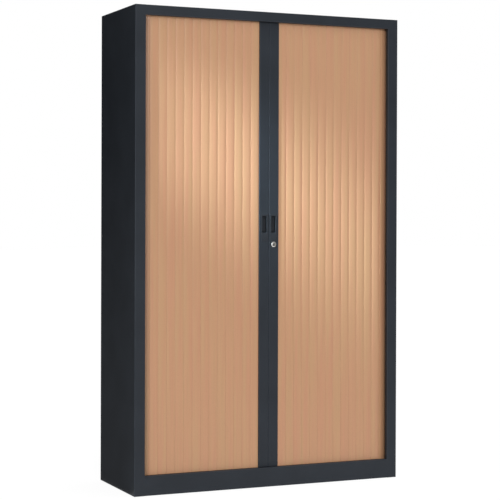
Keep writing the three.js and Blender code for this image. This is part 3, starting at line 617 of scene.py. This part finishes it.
def add_lock():
    """The body of the lock is a closed turned section with a round rose. The plug is turned too, and its dished face
    runs from a circle to the outline of the keyway, which goes straight in."""
    low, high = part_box("lock_body")
    centre = ((low.x + high.x) / 2, (low.z + high.z) / 2)
    rose, front, back = (high.x - low.x) / 2, low.y, high.y
    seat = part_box("right_stile")[0].y - FIT
    share = np.linspace(0, 1, ROUND_STEPS + 1)
    section = np.array(
        [
            (BARREL_BORE, front + BORE_BEVEL),
            (BARREL_BORE + BORE_BEVEL, front),
            *np.stack([ROSE_FLAT + (rose - ROSE_FLAT) * share, front + ROSE_DOME * share**ROSE_POWER], axis=1),
            (rose, seat),
            (LOCK_SHANK, seat),
            (LOCK_SHANK, back),
            (BARREL_BORE, back),
        ]
    )
    shell = turned(section[:, 0], section[:, 1], centre, LOCK_STEPS, 1)
    body = ring_surface("lock_rose_and_barrel", shell, closed=True)
    dress(body, "nickel", BODY_OF["lock_body"])
    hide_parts("lock_body")

    low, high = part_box("lock_plug")
    face, tip = low.y, high.y
    root = tip - TAIL_LENGTH
    dish = face + PLUG_DISH
    profile = np.array(
        [
            (TAIL_RADIUS - TAIL_BEVEL, tip),
            (TAIL_RADIUS, tip - TAIL_BEVEL),
            (TAIL_RADIUS, root),
            (PLUG_RADIUS, root),
            *bend((face + PLUG_ROUND, PLUG_RADIUS), (face, PLUG_RADIUS - PLUG_ROUND), True)[:, ::-1],
            (PLUG_RADIUS - DISH_RIM, dish),
        ]
    )
    barrel = turned(profile[:, 0], profile[:, 1], centre, LOCK_STEPS, 1)
    widths, heights = KEYWAY[0] + KEYWAY_FLARE, KEYWAY[1] + KEYWAY_FLARE
    slot = round_rectangles(widths, heights, KEYWAY_CORNER + KEYWAY_FLARE / 2, LOCK_STEPS)
    slot_rings = np.empty((*slot.shape[:2], 3))
    slot_rings[..., 0] = slot[..., 0] + centre[0]
    slot_rings[..., 1] = (dish + KEYWAY_DEPTHS)[:, None]
    slot_rings[..., 2] = slot[..., 1] + centre[1]
    plug = ring_surface("lock_plug_with_keyway", np.concatenate([barrel, slot_rings]))
    dress(plug, "nickel", BODY_OF["lock_plug"])
    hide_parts("lock_plug")


def add_feet():
    """A foot is turned about its own upright axis. The radius of its stem also falls by the thread's depth times the
    distance from the nearest crest, in half pitches, where the crest climbs one pitch a turn. The socket is a
    hexagon: its radius is the apothem over the cosine of the angle from the middle of the nearest side."""
    for node in ("front_left_foot", "front_right_foot", "rear_left_foot", "rear_right_foot"):
        low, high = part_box(node)
        centre = ((low.x + high.x) / 2, (low.y + high.y) / 2)
        ground, top = low.z, high.z
        # Radius and height, from the underside over the pad to the neck. The last corner only closes the outline.
        pad = rounded_outline(
            [
                (2 * MM, 0),
                (FOOT_RADIUS, 0),
                (FOOT_RADIUS, FOOT_HEIGHT * 0.7),
                (9 * MM, FOOT_HEIGHT),
                (8 * MM, FOOT_HEIGHT + NECK_HEIGHT),
                (STEM_RADIUS - THREAD_DEPTH, FOOT_HEIGHT + NECK_HEIGHT),
                (2 * MM, 30 * MM),
            ],
            [0, 1 * MM, 1.2 * MM, 2 * MM, 0.8 * MM, 0, 0],
        )[:-1]
        stem_z = np.arange(ground + FOOT_HEIGHT + NECK_HEIGHT + 1 * MM, top - 1 * MM, THREAD_PITCH / 4)
        base = turned(pad[:, 0], pad[:, 1] + ground, centre, ROUND_STEPS, 2)
        stem = turned(np.ones(len(stem_z)), stem_z, (0, 0), ROUND_STEPS, 2)
        turn = np.arctan2(stem[0, :, 1], stem[0, :, 0]) / (2 * math.pi)
        phase = stem_z[:, None] / THREAD_PITCH - turn
        radius = STEM_RADIUS - THREAD_DEPTH * np.abs(2 * (phase % 1) - 1)
        stem[..., :2] = stem[..., :2] * radius[..., None] + centre
        rim = turned([STEM_RADIUS - THREAD_DEPTH], [top], centre, ROUND_STEPS, 2)
        side = (turn * 2 * math.pi) % (math.pi / 3) - math.pi / 6
        socket = turned([1, 1], [top, top - SOCKET_DEPTH], (0, 0), ROUND_STEPS, 2)
        hexagon = SOCKET_RADIUS * math.cos(math.pi / 6) / np.cos(side)
        socket[..., :2] = socket[..., :2] * hexagon[None, :, None] + centre
        foot = ring_surface(node.replace("foot", "levelling_foot"), np.concatenate([base, stem, rim, socket]))
        dress(foot, "zinc_steel", BODY_OF[node])
        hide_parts(node)


def add_shelf_clips():
    """Each clip is a flat plate: a hook that drops behind the upright, a tab through its slot, and a bracket on
    which the shelf rests."""
    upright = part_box("right_inner_upright")
    wall = upright[0].x
    rows = (upright[0].y + CLIP_COLUMN, upright[1].y - CLIP_COLUMN)
    # Each corner's place outwards from the wall and upwards from the shelf's top, and its radius, in millimetres
    corners = np.array(
        [
            (2.6, -5.6, 0.4),
            (2.6, -1.4, 1),
            (-14, -1.4, 0.6),
            (-14, -3.2, 0.8),
            (-2, -11, 1.5),
            (-0.4, -11, 0.3),
            (-0.4, -4, 0),
            (1.3, -4, 0),
            (1.3, -5.6, 0.3),
        ]
    )
    outline = rounded_outline(corners[:, :2] * MM, corners[:, 2] * MM)
    for number in range(1, 5):
        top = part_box(f"shelf_{number}")[1].z
        for side, sign in SIDES.items():
            for place, y in zip(("front", "rear"), rows):
                rings = np.empty((4, len(outline), 3))
                rings[..., 0] = sign * (wall + outline[:, 0])
                rings[..., 1] = (y + CLIP_THICKNESS * np.array([-0.5, -0.45, 0.45, 0.5]))[:, None]
                rings[..., 2] = top + outline[:, 1]
                clip = ring_surface(f"shelf_{number}_clip_{side}_{place}", rings)
                dress(clip, "zinc_steel", BODY_OF[f"shelf_{number}"])


def add_back_rivets():
    """Blind rivets that hold the back panel to the ceiling and to the deck: low domes with the end of the mandrel
    sunk in their middle."""
    low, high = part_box("back_panel")
    angles = np.linspace(0, 1.2, ROUND_STEPS + 1)
    radii = RIVET_RADIUS * np.concatenate([[1, 1], np.cos(angles), [0.26, 0.24]])
    heights = RIVET_HEIGHT * np.concatenate([[-0.2, 0], 0.1 + 0.9 * np.sin(angles), [0.92, 0.6]])
    ceiling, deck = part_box("ceiling_panel"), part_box("base_deck")
    columns = np.linspace(low.x + RIVET_INSET, high.x - RIVET_INSET, RIVET_COUNT)
    for name, z in (("top", (ceiling[0].z + ceiling[1].z) / 2), ("bottom", deck[1].z - RIVET_DROP)):
        for number, x in enumerate(columns):
            rings = turned(radii, high.y + heights, (x, z), 3, 1)
            rivet = ring_surface(f"back_rivet_{name}_{number + 1}", rings)
            dress(rivet, "zinc_steel", BODY_OF["back_panel"])


def add_weld_seams():
    """Ground welds, flush with the front, that fill the corner between a post's round edge and the end of the rail
    or plinth. In plan each is the corner between the front and the rail's end, less the quarter circle of the bend."""
    rail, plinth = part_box("top_panel"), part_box("plinth_front")
    end = plinth[1].x
    front = plinth[0].y
    inner = end + FIT
    angles = np.linspace(math.pi, math.pi * 1.5, ROUND_STEPS + 1)
    round_edge = (POST_BEND + SEAM_FIT) * np.stack([np.cos(angles), np.sin(angles)], axis=1)
    arc = round_edge + (inner + POST_BEND, front + POST_BEND)
    arc[:, 1] = np.maximum(arc[:, 1], front)
    outline = np.concatenate([arc, [(end + SEAM_FIT, front), (end + SEAM_FIT, front + POST_BEND)]])
    spans = {
        "top": (rail[1].z - RAIL_HEIGHT + POST_BEND, rail[1].z - POST_BEND),
        "bottom": (plinth[0].z + POST_BEND, plinth[1].z - POST_BEND),
    }
    for place, (low, high) in spans.items():
        for side, sign in SIDES.items():
            rings = np.empty((2, len(outline), 3))
            rings[..., 0] = sign * outline[:, 0]
            rings[..., 1] = outline[:, 1]
            rings[..., 2] = np.array([low, high])[:, None]
            seam = ring_surface(f"{side}_{place}_weld", rings)
            dress(seam, "powder_coat", BODY_OF["plinth_front"])


def add_camera():
    """The camera looks along its yaw and pitch, and rolls about that line."""
    yaw, pitch, roll = (math.radians(a) for a in (CAMERA_YAW, CAMERA_PITCH, CAMERA_ROLL))
    forward = Vector((math.sin(yaw) * math.cos(pitch), math.cos(yaw) * math.cos(pitch), math.sin(pitch)))
    right = Vector((math.cos(yaw), -math.sin(yaw), 0))
    up = right.cross(forward)
    level, tilt = math.cos(roll), math.sin(roll)
    axes = Matrix((right * level + up * tilt, up * level - right * tilt, -forward)).transposed()
    data = bpy.data.cameras.new("photograph")
    data.sensor_width = SENSOR
    data.lens = CAMERA_FOCAL_PX * SENSOR / IMAGE_SIZE
    data.shift_y = (CAMERA_AXIS_PX - IMAGE_SIZE / 2) / IMAGE_SIZE
    camera = bpy.data.objects.new("photograph", data)
    camera.matrix_world = Matrix.Translation(CAMERA_PLACE) @ axes.to_4x4()
    bpy.context.scene.collection.objects.link(camera)
    bpy.context.scene.camera = camera


def add_softbox(name, place, aim, size, power, spread=180, tint="#FFFFFF"):
    """A rectangular lamp at a place, facing a point. A grid in front of it holds its light to a spread in degrees."""
    data = bpy.data.lights.new(name, "AREA")
    data.shape = "RECTANGLE"
    data.size, data.size_y = size
    data.energy = power
    data.spread = math.radians(spread)
    data.color = colour(tint)[:3]
    lamp = bpy.data.objects.new(name, data)
    facing = (Vector(aim) - Vector(place)).to_track_quat("-Z", "Y").to_matrix().to_4x4()
    lamp.matrix_world = Matrix.Translation(place) @ facing
    lamp.visible_camera = False
    bpy.context.scene.collection.objects.link(lamp)
    return lamp


def add_lights():
    """A large softbox at the left front, and a strip behind a grid, close at the left, whose slanting light grazes
    the curtains. The strip is kept off everything but them, and the flag at the post doesn't shade it."""
    add_softbox("key_softbox", KEY_PLACE, KEY_AIM, KEY_SIZE, KEY_POWER)
    strip = add_softbox("grazing_strip", STRIP_PLACE, STRIP_AIM, STRIP_SIZE, STRIP_POWER, STRIP_SPREAD, STRIP_TINT)
    lit = bpy.data.collections.new("lit_by_grazing_strip")
    shading = bpy.data.collections.new("shading_grazing_strip")
    for piece in bpy.context.scene.objects:
        if any(word in piece.name for word in STRIP_LIGHTS):
            lit.objects.link(piece)
        if piece.name != "corner_flag":
            shading.objects.link(piece)
    strip.light_linking.receiver_collection = lit
    strip.light_linking.blocker_collection = shading


def add_black_flags():
    """Black cloths. The two large ones, beside and before the cabinet, are seen by reflections only and take the
    sheen off the coat. The narrow one at the left post only casts a shadow, on the first slats."""
    material, tree = new_finish("black_flag_cloth")
    cloth = add_node(tree, "BsdfDiffuse", {"Color": colour(FLAG_CLOTH)})
    place = add_node(tree, "TexCoord")
    height = add_node(tree, "SeparateXYZ", {0: (place, "Object")})
    # Painted light: the black cloth glows most at its foot, standing in for light thrown up from the floor
    reach, strength = FLAG_PAINTED_SPILL
    painted_spill = add_node(
        tree,
        "MapRange",
        {"Value": (height, "Z"), "From Min": reach, "From Max": 0.0, "To Max": strength},
    )
    glow = add_node(tree, "Emission", {"Color": (1, 1, 1, 1), "Strength": (painted_spill, "Result")})
    both = add_node(tree, "AddShader", {0: (cloth, "BSDF"), 1: (glow, "Emission")})
    add_node(tree, "OutputMaterial", {"Surface": (both, "Shader")})
    material.cycles.emission_sampling = "NONE"
    side = [(x, y, z) for x, z in SIDE_FLAG for y in SIDE_FLAG_RUN]
    front = [(x, y, z) for x, y in FRONT_FLAG for z in FRONT_FLAG_RISE]
    corner = [(POST_FLAG_X, y, z) for y in POST_FLAG_RUN for z in POST_FLAG_RISE]
    for name, points in (("side_flag", side), ("front_flag", front), ("corner_flag", corner)):
        flag = new_piece(name, points, [(i, i + 1, i + 3, i + 2) for i in range(0, len(points) - 2, 2)])
        flag.data.materials.append(material)
        flag.visible_camera = False
        flag.visible_diffuse = False
        flag.visible_shadow = name == "corner_flag"
        flag.visible_glossy = name != "corner_flag"


def add_world():
    """White for the camera and in reflections. The light itself comes from a pale room, brighter at the right."""
    world = bpy.data.worlds.new("studio")
    world.use_nodes = True
    tree = world.node_tree
    tree.nodes.clear()
    rays = add_node(tree, "LightPath")
    direction = add_node(tree, "TexCoord")
    facing = add_node(tree, "VectorMath", {0: (direction, "Generated"), 1: BRIGHT_SIDE}, operation="DOT_PRODUCT")
    room = add_node(tree, "MapRange", {"Value": (facing, "Value"), "From Min": -1.0, "To Max": ROOM_LIGHT})
    seen = add_node(tree, "Math", {0: (rays, "Is Camera Ray"), 1: (rays, "Is Glossy Ray")}, operation="MAXIMUM")
    shown = add_node(tree, "Math", {0: (seen, "Value"), 1: (rays, "Is Transmission Ray")}, operation="MAXIMUM")
    studio = add_node(tree, "Background", {"Color": (1, 1, 1, 1), "Strength": (room, "Result")})
    white = add_node(tree, "Background", {"Color": (1, 1, 1, 1), "Strength": 1.0})
    mix = add_node(tree, "MixShader", {"Fac": (shown, "Value"), 1: (studio, "Background"), 2: (white, "Background")})
    add_node(tree, "OutputWorld", {"Surface": (mix, "Shader")})
    bpy.context.scene.world = world


def add_floor():
    """A white floor. The camera sees it near white, and it keeps a fifth of the cabinet's shadow."""
    material, tree = new_finish("white_studio_floor")
    rays = add_node(tree, "LightPath")
    seen = add_node(tree, "Math", {0: (rays, "Is Camera Ray"), 1: (rays, "Is Glossy Ray")}, operation="MAXIMUM")
    share = add_node(tree, "Math", {0: (seen, "Value"), 1: FLOOR_GLOW_SHARE}, operation="MULTIPLY")
    paint = add_node(tree, "BsdfDiffuse", {"Color": colour(FLOOR_PAINT)})
    glow = add_node(tree, "Emission", {"Color": (1, 1, 1, 1), "Strength": FLOOR_GLOW})
    mix = add_node(tree, "MixShader", {"Fac": (share, "Value"), 1: (paint, "BSDF"), 2: (glow, "Emission")})
    add_node(tree, "OutputMaterial", {"Surface": (mix, "Shader")})
    points = [(x * FLOOR_REACH, y * FLOOR_REACH, 0) for x, y in ((-1, -1), (1, -1), (1, 1), (-1, 1))]
    floor = new_piece("studio_floor", points, [(0, 1, 2, 3)])
    floor.data.materials.append(material)


add_camera()
add_black_flags()
add_world()
add_floor()
for node, cad in NODES.items():
    dress(cad, SLOT_OF[node])
add_folded_sheets()
add_slats()
add_grips()
add_lock()
add_feet()
add_shelf_clips()
add_back_rivets()
add_weld_seams()
add_lights()
bpy.context.scene.view_settings.view_transform = "Standard"
